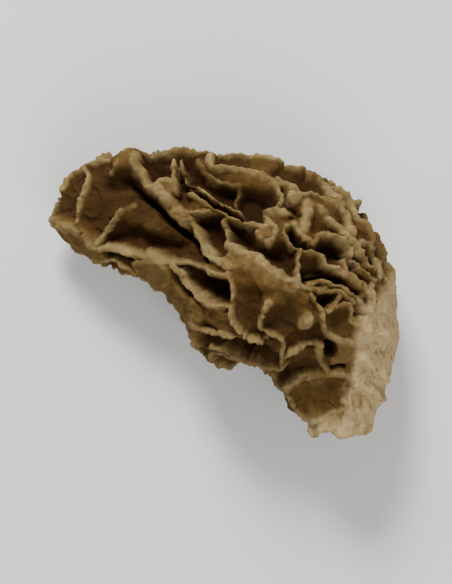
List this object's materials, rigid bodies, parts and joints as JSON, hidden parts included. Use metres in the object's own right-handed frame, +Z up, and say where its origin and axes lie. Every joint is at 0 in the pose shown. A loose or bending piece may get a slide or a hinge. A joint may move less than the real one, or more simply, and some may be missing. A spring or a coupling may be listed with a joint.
{
  "type": "morel mushroom",
  "caption": "Dried morel lying on its side: a bent, pear-shaped cap of raised ridges and deep pits on a short, hollow, cut stem.",
  "frame": {"origin": "on the surface that the mushroom lies on, under the middle of its bounding box", "axes": "+Z up, away from the surface; +Y from the stem's cut foot towards the bend of the cap; +X from the cap's tip towards the stem's side"},
  "size_m": [0.0532, 0.044, 0.0242],
  "materials": {
    "dried_flesh": "matte"
  },
  "bodies": {
    "root": {"morel": "dried_flesh"}
  },
  "joints": []
}
